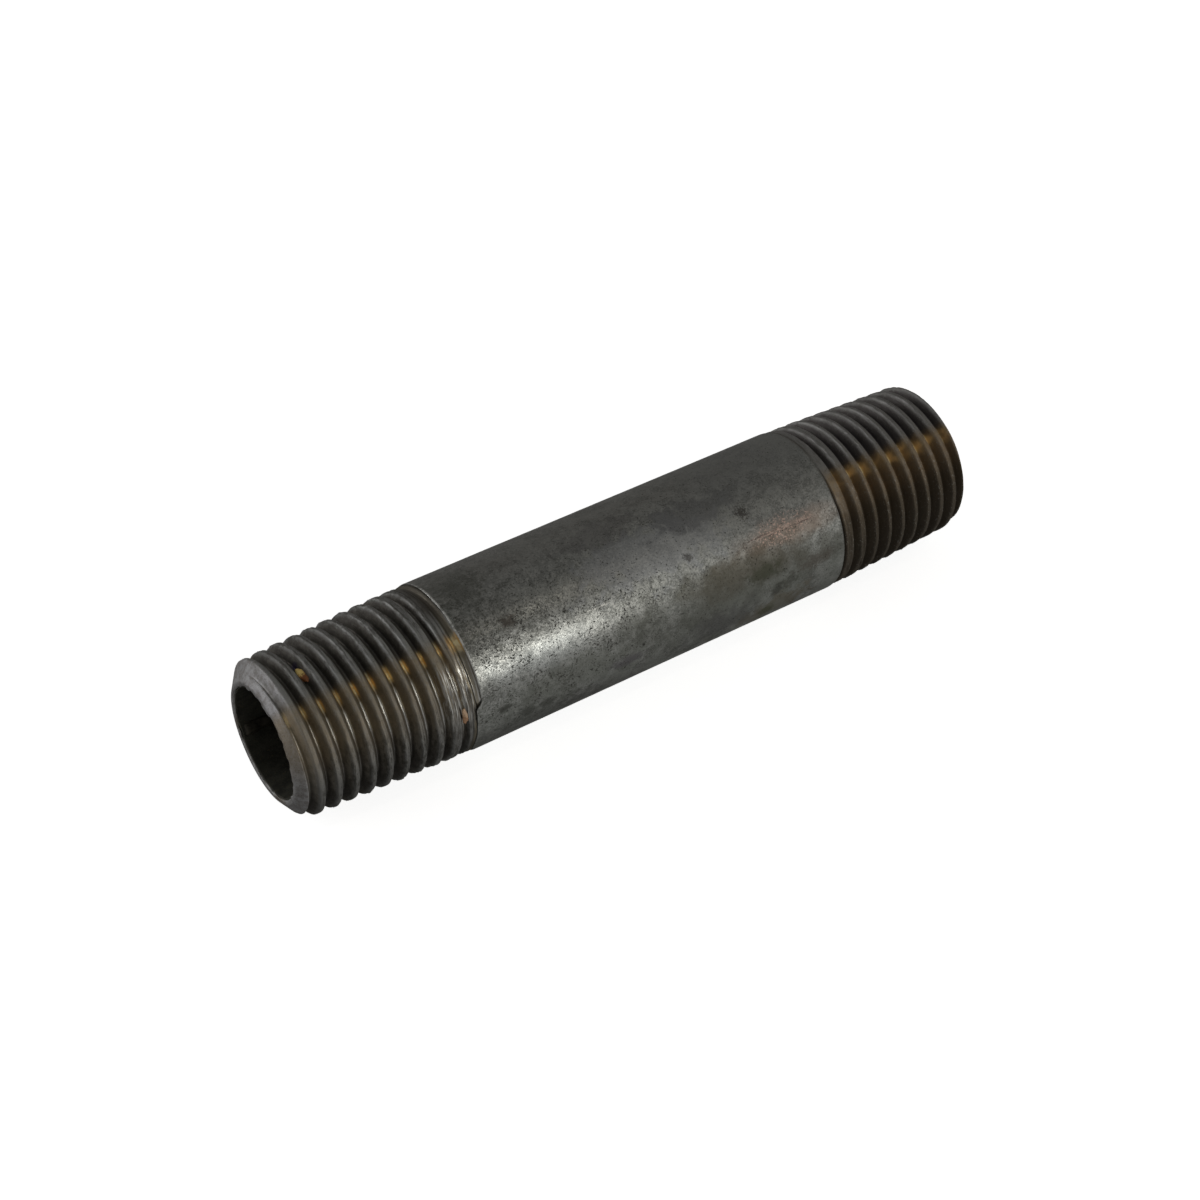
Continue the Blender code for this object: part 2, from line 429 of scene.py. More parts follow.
def face_ring(shell, end, outer, v_low, v_high):
    """The narrow sawn face and its ragged inner edge. Returns the row of numbers inside the bore."""
    n = COLUMNS
    angle = full_turn(n)
    from_y = world_angle(end, angle)
    seed = 21 if end == "a" else 22
    where = on_pipe(np.zeros(n), FACE_NOISE_RADIUS, angle)
    torn = 0.35 + 0.65 * ease(-60, 10, side(from_y))
    ragged = noise(where, 0.42, seed, 3) * torn
    burr = clamp(noise(where, 0.75, seed + 5, 2) * 2.2 - 0.5) * torn
    chips = clamp(noise(where, 1.6, seed + 9, 2) * 2.6 - 0.7) * torn
    edge = BORE_RADIUS + 0.05 - 0.07 * ragged - 0.17 * burr - 0.1 * chips
    edge -= 0.26 * over_seam(from_y, math.radians(9))
    rows = [outer]
    for share, depth, back in FACE_ROWS:
        radius = FACE_RADIUS + (edge - FACE_RADIUS) * share
        radius = radius + (BORE_RADIUS - 0.004 - radius) * back
        at_edge = share == 1.0 and back == 0.0
        at = depth - 0.02 * clamp(burr) * at_edge
        # The lip takes the steel's painted highlight along the bore's rim, most where its burrs are
        lip = (share == 1.0 and back < 1.0) * (0.45 + 0.55 * clamp(burr + ragged))
        layers = {"depth": 0.05 + 0.15 * share, "edge": lip, "late": 1.0, "side": side(from_y)}
        rows.append(shell.add(place(end, at, radius, angle), layers))
    count = len(FACE_ROWS)
    shell.bands(rows, [v_low + (v_high - v_low) * i / count for i in range(count + 1)])
    return rows[-1]


def steel_pipe(material):
    shell = Shell(COLUMNS, ("depth", "groove", "edge", "late", "score", "reach", "side"))
    start_a, stop_a = thread_skin(shell, "a", 0.02, 0.44)
    start_b, stop_b = thread_skin(shell, "b", 0.46, 0.86)
    inner_a = face_ring(shell, "a", start_a, 0.87, 0.92)
    inner_b = face_ring(shell, "b", start_b, 0.93, 0.98)
    # End B's columns run the other way round, from the far side
    match = [(COLUMNS // 2 - j) % COLUMNS for j in range(COLUMNS)]
    shell.band(stop_b[match], stop_a, 0.445, 0.455)
    shell.band(inner_a, inner_b[match], 0.985, 0.995)
    return shell.finish("steel_pipe_threaded", "steel_pipe", material)


# -------- the zinc on the barrel

def zinc_edge(end, angle):
    """How far from the face the zinc starts at this angle: the die has cut it back unevenly."""
    where = on_pipe(np.zeros_like(angle), BARREL_NOISE_RADIUS, angle)
    wander = 0.04 * noise(where, 2.5, 31 if end == "a" else 32, 2)
    if end == "a":
        round_side = side(angle)
        notch = NOTCH_DEPTH * ease(76, 82, round_side) * (1 - ease(118, 135, round_side))
        return THREAD_LENGTH["a"] - 0.05 - notch + wander
    return THREAD_LENGTH["b"] + 0.02 + wander


def barrel_pits():
    """(x, angle, size, depth) of the larger pits in the zinc, most of them on the side that shows."""
    rng = np.random.default_rng(5)
    x = rng.uniform(-16.3, 17.4, PITS)
    degrees = rng.uniform(-180, 180, PITS)
    near = rng.random(PITS) < NEAR_SHARE
    x = np.where(near, rng.uniform(-16.4, 1.0, PITS), x)
    degrees = np.where(near, 48 + rng.normal(0, 17, PITS), degrees)
    size = 0.07 + 0.11 * rng.random(PITS) ** 3
    depth = 0.008 + 0.02 * rng.random(PITS)
    return zip(x, np.radians(degrees + 90), size, depth)


def dig_pits(row_x, angle, x, radius):
    """Lowers the radius at the pits, and returns how much each point lies in one, from 0 to 1.

    row_x is about where each row lies, and is only used to find the rows near a pit.
    """
    pit = np.zeros_like(x)
    for pit_x, pit_angle, size, depth in barrel_pits():
        arc = ((angle - pit_angle + math.pi) % TURN - math.pi) * BARREL_NOISE_RADIUS
        near_columns = np.abs(arc) < size * 2.2
        block = np.ix_(np.abs(row_x - pit_x) < size * 2.2, near_columns)
        gap = np.hypot(x[block] - pit_x, arc[near_columns])
        dent = np.exp(-(gap / size) ** 2 * 1.6)
        radius[block] -= depth * dent
        pit[block] = np.maximum(pit[block], dent * clamp(depth / 0.03))
    return pit


def zinc_barrel(material):
    columns, rows = 288, 230
    shell = Shell(columns, ("pit", "side", "along", "rim"))
    angle = full_turn(columns)
    x0 = zinc_edge("a", angle) - HALF_LENGTH
    x1 = HALF_LENGTH - zinc_edge("b", angle)
    inside = PIPE_RADIUS + BOND_GAP
    close = np.array([0, 0.0006, 0.002, 0.0038, 0.006])
    steps = np.concatenate([close, np.linspace(0.008, 0.992, rows), 1 - close[::-1]])
    x = x0 + (x1 - x0) * steps[:, None]
    angles = np.broadcast_to(angle, x.shape)
    where = on_pipe(x, BARREL_NOISE_RADIUS, angles)
    radius = ZINC_RADIUS - 0.014 + 0.006 * noise(where, 3.2, 41, 2) + 0.004 * noise(where, 0.55, 42, 2)
    pit = dig_pits(BARREL_START + BARREL_LENGTH * steps, angle, x, radius)

    # The zinc thins out to almost nothing at both edges
    from_edge = np.minimum(x - x0, x1 - x)
    thickness = np.minimum(radius, ZINC_RADIUS) - inside - EDGE_THICKNESS
    radius = inside + EDGE_THICKNESS + thickness * ease(-0.02, 0.1, from_edge) ** 0.6
    layers = {"pit": pit, "side": side(angles), "along": x, "rim": clamp(1 - from_edge / 0.25)}
    ids = shell.add_grid(on_pipe(x, radius, angles), layers)
    shell.bands(ids, 0.015 + 0.965 * steps, flip=True)
    inner = []
    for at in (x0 + 0.01, x1 - 0.01):
        points = on_pipe(at, np.full(columns, inside), angle)
        inner.append(shell.add(points, {"side": side(angle), "along": at}))
    shell.band(inner[0], ids[0], 0.004, 0.015, flip=True)
    shell.band(ids[-1], inner[1], 0.98, 0.99, flip=True)
    shell.band(inner[1], inner[0], 0.991, 0.996, flip=True)
    return shell.finish("zinc_barrel", "outer_zinc_coat", material)


# -------- the bore

def over_seam(angle, half_width=math.radians(12)):
    """1 over the middle of the welded seam, falling to 0 at this distance round from it."""
    offset = (angle - SEAM_ANGLE + math.pi) % TURN - math.pi
    return np.where(np.abs(offset) < half_width, np.cos(offset / half_width * math.pi / 2) ** 2, 0.0)


def bore_lining(material):
    columns, rows = 128, 190
    shell = Shell(columns, ("crust",))
    angle = full_turn(columns)
    half = HALF_LENGTH - LINING_SETBACK
    outside = BORE_RADIUS - BOND_GAP
    close = np.array([0, 0.08, 0.2, 0.36, 0.56])
    middle = np.linspace(-half + 0.8, half - 0.8, rows)
    steps = np.concatenate([close - half, middle, half - close[::-1]])
    x = np.broadcast_to(steps[:, None], (len(steps), columns))
    angles = np.broadcast_to(angle, x.shape)
    where = on_pipe(x, LINING_NOISE_RADIUS, angles)
    crust = noise(where, (1.6, 1.0, 1.0), 51, 3)
    swell = 1 + 0.12 * noise(where, (1.1, 3, 3), 52, 2)
    thick = 0.1 + 0.035 * crust + 0.26 * over_seam(angles) * swell
    radius = outside - np.maximum(thick, 0.05)
    ids = shell.add_grid(on_pipe(x, radius, angles), {"crust": crust})
    shell.bands(ids, 0.02 + 0.9 * (steps + half) / (2 * half))
    outer = [shell.add(on_pipe(np.full(columns, at), outside, angle), {}) for at in (-half, half)]
    shell.band(outer[0], ids[0], 0.005, 0.02)
    shell.band(ids[-1], outer[1], 0.92, 0.935)
    shell.band(outer[1], outer[0], 0.95, 0.97)
    return shell.finish("bore_zinc_lining", "bore_zinc_coat", material)


def weld_ridge(material):
    """The ragged crown of the seam, standing just clear of the zinc along the bore."""
    columns, rows = 12, 420
    shell = Shell(columns, ("crust",))
    half = HALF_LENGTH - RIDGE_SETBACK
    steps = np.linspace(-half, half, rows)
    x = np.broadcast_to(steps[:, None], (rows, columns))
    around = np.broadcast_to(full_turn(columns), x.shape)
    where = on_pipe(x, 1.0, around)
    swell = 1 + 0.22 * noise(where, (0.7, 1.4, 1.4), 61, 3)
    taper = ease(0, 0.4, half - np.abs(x))
    half_width = math.radians(6.5) * swell * (0.6 + 0.4 * taper)
    middle = SEAM_ANGLE + math.radians(1.2) * noise(where * (1, 0, 0), (3.0, 1, 1), 62, 2)
    # The crown stands towards the axis, and a lower back lies towards the wall
    height = np.where(np.sin(around) > 0, 0.29 * taper + 0.02, 0.14) * swell
    radius = BORE_RADIUS - 0.19 - np.sin(around) * height
    ids = shell.add_grid(on_pipe(x, radius, middle + np.cos(around) * half_width), {"crust": swell - 1})
    v = 0.02 + 0.96 * (steps + half) / (2 * half)
    shell.bands(ids, v, flip=True)
    for row, v_tip in ((0, v[0] - 0.01), (-1, v[-1] + 0.01)):
        tip = shell.add(shell.centre(ids[row]), {})[0]
        shell.band(ids[row], np.full(columns, tip), v[row], v_tip, flip=row == -1)
    return shell.finish("weld_seam_ridge", "weld_bead", material)


# -------- crumbs caught in the thread

def crumb(name, x, degrees, radius, sizes, seed, material):
    """A small irregular chip lying in a groove; sizes are its half length, half width and half height."""
    columns, rows = 20, 11
    shell = Shell(columns, ("share",))
    around = full_turn(columns)
    angle = math.radians(degrees + 90)
    across, up = math.cos(angle), math.sin(angle)
    # Its own axes run round the pipe, along it and outwards
    axes = np.array([(0, -up, across), (1, 0, 0), (0, across, up)])
    centre = np.array(spot(x, degrees, radius))

    def put(ball):
        return centre + ball[..., (2, 0, 1)] * sizes @ axes

    rings = []
    for polar in np.linspace(0.0, math.pi, rows)[1:-1]:
        ball = np.stack([np.sin(polar) * np.cos(around), np.sin(polar) * np.sin(around),
                         np.full(columns, math.cos(polar))], axis=-1)
        swell = 1 + 0.4 * noise(ball, 0.6, seed, 2)[:, None]
        rings.append(shell.add(put(ball * swell), {"share": math.cos(polar)}))
    tips = [shell.add(put(np.array([[0, 0, sign]])), {"share": sign}) for sign in (1.0, -1.0)]
    shell.band(np.repeat(tips[0], columns), rings[0], 0.02, 0.1)
    shell.bands(rings, [0.1 + 0.8 * i / (len(rings) - 1) for i in range(len(rings))])
    shell.band(rings[-1], np.repeat(tips[1], columns), 0.9, 0.98)
    return shell.finish(name, None, material)


# -------- shader graphs

class Nodes:
    """A short way to write a tree of shader nodes."""

    def __init__(self, tree):
        self.tree = tree

    def feed(self, socket, value):
        """Gives a socket its value, which is another socket, a number, a colour or a vector."""
        if isinstance(value, bpy.types.NodeSocket):
            self.tree.links.new(value, socket)
            return
        if socket.type == "RGBA" and len(value) == 3:
            value = (*value, 1.0)
        socket.default_value = value

    def node(self, kind, inputs, **settings):
        made = self.tree.nodes.new("ShaderNode" + kind)
        for key, value in settings.items():
            setattr(made, key, value)
        for key, value in inputs.items():
            self.feed(made.inputs[key], value)
        return made

    def math(self, operation, *values):
        return self.node("Math", dict(enumerate(values)), operation=operation).outputs[0]

    def vector(self, operation, *values):
        """A vector, or a number for operations that give one."""
        made = self.node("VectorMath", dict(enumerate(values)), operation=operation)
        return made.outputs["Value" if operation in ("LENGTH", "DOT_PRODUCT") else "Vector"]

    def times(self, first, *others):
        """All the values multiplied together."""
        for other in others:
            first = self.math("MULTIPLY", first, other)
        return first

    def most(self, a, b):
        return self.math("MAXIMUM", a, b)

    def gap(self, value, centre):
        """How far the value is from the centre, either way."""
        return self.math("ABSOLUTE", self.math("SUBTRACT", value, centre))

    def step(self, value, low, high, to_low=0.0, to_high=1.0):
        """A smooth change from to_low to to_high; low may be the greater of the two limits."""
        inputs = {"Value": value, "From Min": low, "From Max": high, "To Min": to_low, "To Max": to_high}
        return self.node("MapRange", inputs, interpolation_type="SMOOTHSTEP").outputs["Result"]

    def between(self, value, rise, top, end, fall):
        """A step up from rise to top, and down again from fall to end."""
        return self.times(self.step(value, rise, top), self.step(value, end, fall))

    def mix(self, share, a, b):
        """Colour b laid over colour a with this share."""
        return self.node("Mix", {"Factor": share, 6: a, 7: b}, data_type="RGBA").outputs[2]


class Finish(Nodes):
    """A material, whose patterns lie in object coordinates, in millimetres."""

    def __init__(self, name):
        self.material = bpy.data.materials.new(name)
        self.material.use_nodes = True
        super().__init__(self.material.node_tree)
        self.shader = self.tree.nodes["Principled BSDF"]
        place = self.node("TexCoord", {}).outputs["Object"]
        scaled = self.node("VectorMath", {0: place, "Scale": 1 / MM}, operation="SCALE")
        self.where = scaled.outputs[0]

    def noise(self, scale, detail=2.0, rough=0.5, stretch=None, distort=0.0):
        where = self.vector("MULTIPLY", self.where, stretch) if stretch else self.where
        inputs = {"Vector": where, "Scale": scale, "Detail": detail, "Roughness": rough,
                  "Distortion": distort}
        return self.node("TexNoise", inputs).outputs["Fac"]

    def layer(self, name):
        """A number layer of the mesh."""
        return self.node("Attribute", {}, attribute_name=name).outputs["Fac"]

    def layers(self, *names):
        return SimpleNamespace(**{name: self.layer(name) for name in names})

    def blob(self, centre, length, width, soft, wobble, amount):
        """1 inside an oval patch round a point of the surface, 0 outside, its edge moved by a noise."""
        offset = self.vector("SUBTRACT", self.where, centre)
        scaled = self.vector("MULTIPLY", offset, (1 / length, 1 / width, 1 / width))
        moved = self.math("MULTIPLY_ADD", wobble, 2 * amount, -amount)
        return self.step(self.math("ADD", self.vector("LENGTH", scaled), moved), 1 + soft, 1 - soft)

    def along(self):
        """The distance along the pipe from its middle."""
        return self.node("SeparateXYZ", {0: self.where}).outputs["X"]

    def bump(self, height, strength, distance, **inputs):
        inputs.update(Height=height, Strength=strength, Distance=distance * MM)
        return self.node("Bump", inputs).outputs["Normal"]

    def set(self, **inputs):
        for key, value in inputs.items():
            self.feed(self.shader.inputs[key.replace("_", " ")], value)
        return self.material


# -------- the steel of the threads

def steel_patterns(g):
    """The mesh layers and the noises that the steel's stages share."""
    m = g.layers("depth", "groove", "edge", "late", "score", "reach", "side")
    m.far = g.step(g.along(), -5, 5)
    m.near = g.math("SUBTRACT", 1.0, m.far)
    m.streak = g.noise(1.0, 3, 0.6, stretch=(9.0, 0.5, 0.5))
    m.fine = g.noise(9.0, 3, 0.6)
    m.cloud = g.noise(0.35, 3, 0.6)
    m.mottle = g.noise(1.6, 4, 0.65)
    # The sides that face the photograph's camera are the ones whose look is known
    m.turned = g.gap(m.side, 45)
    m.seen = g.step(m.turned, 125, 95)
    # The side, moved by a noise, so that the edges of the oil tint, the painted glints and the painted
    # highlight in the grooves wander
    wander = g.math("MULTIPLY_ADD", g.noise(1.3, 3, 0.6), 10.0, -5.0)
    m.oil_side = g.math("ADD", m.side, wander)
    return m


def cut_steel(g, m):
    """The bare metal: crests, flanks and the bottom of the groove, with painted light, shade, reflection
    and highlight on them.
    """
    crest = g.mix(g.step(m.streak, 0.3, 0.7), (0.255, 0.255, 0.248), (0.37, 0.37, 0.36))
    # Painted shade: crests turned away from side 45 are darkened, on the sides that show
    painted_crest_shade = g.times(m.seen, g.step(m.turned, 26, 52, 0.0, 0.62))
    crest = g.mix(painted_crest_shade, crest, (0.165, 0.16, 0.15))
    face = g.mix(g.step(m.mottle, 0.36, 0.6), (0.285, 0.27, 0.262), (0.435, 0.43, 0.435))
    face = g.mix(g.step(m.fine, 0.5, 0.66, 0.0, 0.45), face, (0.2, 0.19, 0.175))
    crest = g.mix(g.step(m.reach, 1.3, 0.9), crest, face)
    crest = g.mix(g.times(m.far, g.step(m.side, 50, 20)), crest, (0.262, 0.256, 0.247))

    # Painted shade and light on the flanks: dark on the sides that show away from the front, light round
    # side 68 where the key light falls, and light on the sides that don't show
    shaded_flank = g.mix(g.step(m.mottle, 0.3, 0.7), (0.085, 0.078, 0.069), (0.152, 0.141, 0.125))
    lit_flank = g.mix(g.step(m.mottle, 0.3, 0.7), (0.185, 0.17, 0.145), (0.285, 0.265, 0.23))
    lit_side = g.step(g.gap(m.side, 68), 44, 26)
    flank = g.mix(g.most(lit_side, g.math("MULTIPLY_ADD", m.seen, -0.7, 0.7)), shaded_flank, lit_flank)
    # The far thread's flanks along the top get a painted shade of their own
    flank = g.mix(g.times(m.far, g.step(m.side, 50, 30), 0.8), flank, (0.125, 0.115, 0.114))

    root = g.mix(g.step(m.cloud, 0.35, 0.65), (0.075, 0.068, 0.06), (0.13, 0.12, 0.105))
    # Painted reflection of the cool surroundings above: a purple tint in the far thread's roots along the
    # top
    root = g.mix(g.times(m.far, g.step(m.side, 40, 10)), root, (0.105, 0.092, 0.1))
    colour = g.mix(g.step(m.depth, 0.08, 0.42), crest, flank)
    colour = g.mix(g.step(m.depth, 0.55, 0.95), colour, root)
    # Painted highlight: a bright line along the crest edges and along the lip of the bore, strongest late
    # in the thread
    painted_edge_highlight = g.times(m.edge, g.math("MULTIPLY_ADD", m.late, 0.7, 0.06), g.step(m.fine, 0.35, 0.6, 0.5, 1.0))
    return g.mix(painted_edge_highlight, colour, (0.58, 0.585, 0.57))


def dried_oil(g, m, colour):
    """Cutting oil has dried brown along the side that lay lowest, and dulls the far thread."""
    brown = g.times(g.between(m.side, 22, 36, 96, 58), g.step(m.mottle, 0.2, 0.75, 0.6, 1.0),
                    g.step(m.depth, 0.0, 0.4, 0.9, 1.0), g.step(m.far, 0, 1, 0.8, 0.95))
    colour = g.mix(brown, colour, g.mix(m.far, (0.3, 0.238, 0.153), (0.24, 0.165, 0.09)))
    dull = g.times(m.far, g.between(m.side, 42, 70, 150, 120), 0.9)
    return g.mix(dull, colour, (0.098, 0.077, 0.053))


def painted_root_highlight(g, m):
    """How much painted highlight the bottom of the groove takes: a bright line on the band of sides where
    the key light reflects, faint elsewhere, on the near thread only.
    """
    stop = g.math("MULTIPLY_ADD", m.late, 22.0, 76.0)
    strip = g.between(m.oil_side, 43, 49, stop, g.math("SUBTRACT", stop, 18.0))
    return g.times(g.step(m.groove, 0.86, 0.96), m.near, g.step(m.fine, 0.35, 0.6, 0.75, 1.0),
                   g.most(strip, 0.12), g.step(m.reach, 0.8, 5.5, 0.3, 1.0))


def specks_and_streaks(g, m, colour):
    """Dark specks, bright flecks on the crests, and dark streaks round the thread, weakest near side 45.
    """
    colour = g.mix(g.step(m.fine, 0.58, 0.72, 0.0, 0.35), colour, (0.07, 0.064, 0.056))
    colour = g.mix(g.step(g.noise(3.0, 4, 0.7), 0.6, 0.74, 0.0, 0.5), colour, (0.085, 0.07, 0.052))
    flecks = g.step(g.noise(6.0, 3, 0.6, stretch=(1.6, 0.8, 0.8)), 0.58, 0.68, 0.0, 0.45)
    colour = g.mix(g.times(flecks, g.step(m.depth, 0.5, 0.1, 0.35, 1.0)), colour, (0.4, 0.39, 0.365))
    dark_streaks = g.step(g.noise(1.0, 4, 0.7, stretch=(4.5, 0.9, 0.9)), 0.46, 0.62, 0.0, 0.65)
    dark_streaks = g.times(dark_streaks, g.step(m.turned, 12, 40, 0.25, 1.0), g.step(m.reach, 1.1, 1.8),
                    g.step(m.far, 0, 1, 1.0, 0.45))
    return g.mix(dark_streaks, colour, (0.072, 0.066, 0.055))


def oil_tint_and_painted_glint(g, m):
    """(share, colour) of the amber oil tint and the painted glint of the warm top light: a golden spot in
    the bottom of each groove.
    """
    below = g.math("MULTIPLY_ADD", m.far, 3.0, 43.0)
    amber = g.between(m.oil_side, 25.5, 34.0, below, 35.0)
    thick = g.most(g.step(m.groove, 0.62, 0.95, 0.05, 1.0), g.step(m.reach, 13.9, 14.2, 0.0, 0.9))
    spread = g.times(m.far, g.step(m.depth, 0.0, 0.5, 0.15, 0.85))
    uneven = g.step(g.noise(0.9, 1, 0.5), 0.36, 0.64, 0.22, 0.8)
    strong = g.times(m.near, g.step(m.reach, 2.0, 8.0, 0.62, 1.0))
    amber = g.times(amber, g.most(thick, spread), g.most(uneven, strong))
    # The bright golden core is the painted glint
    core = g.times(g.step(m.groove, 0.8, 1.0), g.step(g.noise(2.2, 1, 0.5), 0.35, 0.6, 0.35, 1.0))
    core = g.most(core, g.times(m.far, 0.4))
    core = g.most(core, g.times(m.near, g.step(m.streak, 0.5, 0.6, 0.0, 0.7)))
    return amber, g.mix(core, (0.72, 0.44, 0.16), (1.0, 0.86, 0.52))


def run_out(g, m, colour, amber):
    """(colour, share worn and lit) with the marks of the near thread's last turns: an oil film, painted
    shade along the top, dark score lines and a painted highlight on the worn turns.
    """
    film = g.between(m.reach, 14.28, 14.38, 15.02, 14.92)
    film = g.times(film, m.near, g.math("SUBTRACT", 1.0, amber), 0.75)
    colour = g.mix(film, colour, (0.2, 0.172, 0.12))
    # Painted shade over the top of the last turns
    shade = g.times(g.step(m.reach, 13.6, 14.1), g.step(m.side, 24, 4), m.seen, 0.8)
    colour = g.mix(shade, colour, (0.095, 0.086, 0.072))
    colour = g.mix(g.times(m.score, 0.85), colour, (0.04, 0.036, 0.03))
    # Painted highlight on the worn last turns, round the sides where the key light falls; the same share
    # smooths them
    wear_and_highlight = g.times(g.between(m.reach, 11.6, 12.6, 14.9, 14.6), g.between(m.side, 42, 50, 94, 78), m.near,
                   g.step(m.streak, 0.5, 0.58, 0.0, 0.85))
    return g.mix(wear_and_highlight, colour, (0.61, 0.61, 0.59)), wear_and_highlight


def steel_roughness(g, m, amber, root_highlight, wear_and_highlight):
    """(roughness, share polished): the die leaves the crests rough, and the metal is smoother under the
    groove's painted highlight, the oil and the worn last turns.
    """
    polish = g.most(g.times(amber, m.near), root_highlight)
    polish = g.most(polish, g.times(wear_and_highlight, 0.7))
    last = g.times(g.between(m.reach, 13.0, 13.6, 15.0, 14.9), g.step(m.side, 10, 30))
    rough = g.step(m.streak, 0.3, 0.7, 0.58, 0.72)
    for smoother in (g.times(g.step(m.groove, 0.55, 0.95), g.step(m.far, 0, 1, 0.18, 0.12)),
                     g.times(polish, 0.3),
                     g.times(last, g.step(m.far, 0, 1, 0.2, 0.06))):
        rough = g.math("SUBTRACT", rough, smoother)
    return g.most(rough, 0.28), polish


def threaded_steel():
    g = Finish("threaded_steel_oiled")
    m = steel_patterns(g)
    colour = dried_oil(g, m, cut_steel(g, m))
    root_highlight = painted_root_highlight(g, m)
    # Painted highlight in the bottom of the groove
    colour = g.mix(root_highlight, colour, (0.54, 0.535, 0.51))
    colour = specks_and_streaks(g, m, colour)
    amber, amber_colour = oil_tint_and_painted_glint(g, m)
    # Amber oil tint and painted glint of the warm top light
    colour = g.mix(amber, colour, amber_colour)
    colour, wear_and_highlight = run_out(g, m, colour, amber)

    # Brown stains away from the side that shows, and a bluish bruise beside the golden crumb
    away = g.step(g.gap(m.side, 44), 80, 110)
    stain = g.times(away, g.step(g.noise(0.28, 4, 0.62, distort=0.5), 0.47, 0.6, 0.0, 0.6))
    colour = g.mix(stain, colour, (0.15, 0.112, 0.072))
    bruise = g.blob(spot(-28.45, -3, 5.95), 0.26, 0.42, 0.5, m.mottle, 1.0)
    colour = g.mix(g.times(bruise, 0.75), colour, (0.055, 0.042, 0.095))

    rough, polish = steel_roughness(g, m, amber, root_highlight, wear_and_highlight)
    even = g.math("SUBTRACT", 1.0, g.times(polish, 0.75))
    normal = g.bump(g.noise(1.0, 2, 0.5, stretch=(22.0, 1.2, 1.2)), g.times(even, 0.6), 0.02)
    normal = g.bump(g.noise(14.0, 3, 0.6), g.times(even, 0.3), 0.01, Normal=normal)
    normal = g.bump(g.noise(4.0, 3, 0.6), g.times(even, 0.3), 0.03, Normal=normal)
    return g.set(Base_Color=colour, Roughness=rough, Metallic=0.85, Normal=normal)


# -------- the zinc of the barrel

# Cloudy patches and stains: x, side, half length, half width, colour, strength, softness of the edge,
# the noise that moves the edge, and by how much
PATCHES_UNDER_HAZE = (
    (1.5, 32, 6.5, 2.2, (0.42, 0.43, 0.45), 0.5, 0.3, "cloud", 1.5),
    (6.0, 16, 3.6, 1.3, (0.145, 0.145, 0.15), 0.6, 0.3, "cloud", 1.5),
    (-2.0, 4, 3.4, 1.2, (0.16, 0.155, 0.155), 0.45, 0.3, "cloud", 1.5),
    (3.5, 44, 0.34, 0.3, (0.08, 0.075, 0.07), 0.7, 0.5, "mid", 2.2),
    (7.0, 85, 10.5, 2.8, (0.1, 0.103, 0.085), 0.78, 0.8, "drift", 1.3),
    (12.8, 54, 5.0, 1.1, (0.285, 0.215, 0.175), 0.6, 0.6, "drift", 0.8),
    (-9.0, 88, 5.0, 1.6, (0.15, 0.155, 0.135), 0.5, 0.3, "cloud", 1.5),
    (11.0, 111, 3.0, 1.5, (0.15, 0.12, 0.075), 0.7, 0.3, "cloud", 1.5),
    (-12.5, 35, 0.55, 0.45, (0.07, 0.06, 0.052), 0.8, 0.6, "mid", 1.6),
)
PATCHES_OVER_HAZE = (
    (-14.6, -2, 1.9, 2.6, (0.105, 0.108, 0.092), 0.55, 0.7, "mid", 1.8),
    (9.5, 31, 0.4, 0.5, (0.06, 0.055, 0.05), 0.8, 0.7, "grain", 2.6),
)
PATCHES_OVER_GREEN = (
    (8.6, 67, 5.2, 1.5, (0.105, 0.092, 0.068), 0.65, 0.7, "drift", 1.0),
    (9.8, 75, 1.5, 0.65, (0.065, 0.07, 0.045), 0.65, 0.5, "mid", 1.8),
    (12.0, 90, 0.8, 0.55, (0.07, 0.07, 0.055), 0.6, 0.5, "mid", 1.8),
    (-12.8, 101, 0.85, 0.6, (0.055, 0.057, 0.048), 0.7, 0.6, "mid", 1.0),
    (-10.9, 101, 0.6, 0.5, (0.065, 0.067, 0.056), 0.7, 0.6, "mid", 1.0),
    (-14.7, 89, 0.6, 0.28, (0.05, 0.05, 0.042), 0.85, 0.6, "mid", 1.2),
    (-3.6, 96, 1.3, 0.5, (0.11, 0.1, 0.11), 0.7, 0.6, "mid", 1.0),
    # A light patch just under the barrel's key highlight: a painted highlight, widening its lower skirt
    (-11.3, 63, 4.0, 1.0, (0.4, 0.42, 0.42), 0.5, 0.8, "drift", 0.8),
    (-12.6, 96, 3.6, 1.8, (0.105, 0.112, 0.092), 0.3, 0.6, "mid", 3.0),
    (6.0, 101, 3.2, 1.2, (0.11, 0.108, 0.11), 0.5, 0.6, "cloud", 1.5),
    (10.9, 93, 0.5, 0.5, (0.075, 0.075, 0.065), 0.7, 0.6, "mid", 1.0),
    (14.9, 82, 1.6, 0.6, (0.105, 0.088, 0.07), 0.6, 0.6, "mid", 1.5),
    (10.3, 112, 0.7, 0.7, (0.085, 0.09, 0.045), 0.7, 0.6, "mid", 1.0),
)
# Long scratches: x, side, half length, half width and colour
SCRATCHES = (
    (12.6, 51.0, 2.1, 0.13, (0.46, 0.34, 0.29)),
    (13.2, 52.5, 2.6, 0.07, (0.11, 0.08, 0.07)),
    (10.0, 50.5, 1.6, 0.07, (0.11, 0.085, 0.075)),
    (-5.4, 50.0, 1.2, 0.06, (0.55, 0.54, 0.51)),
)
# The radius of the barrel's surface, for the middles of the patches
PATCH_RADIUS = 6.93


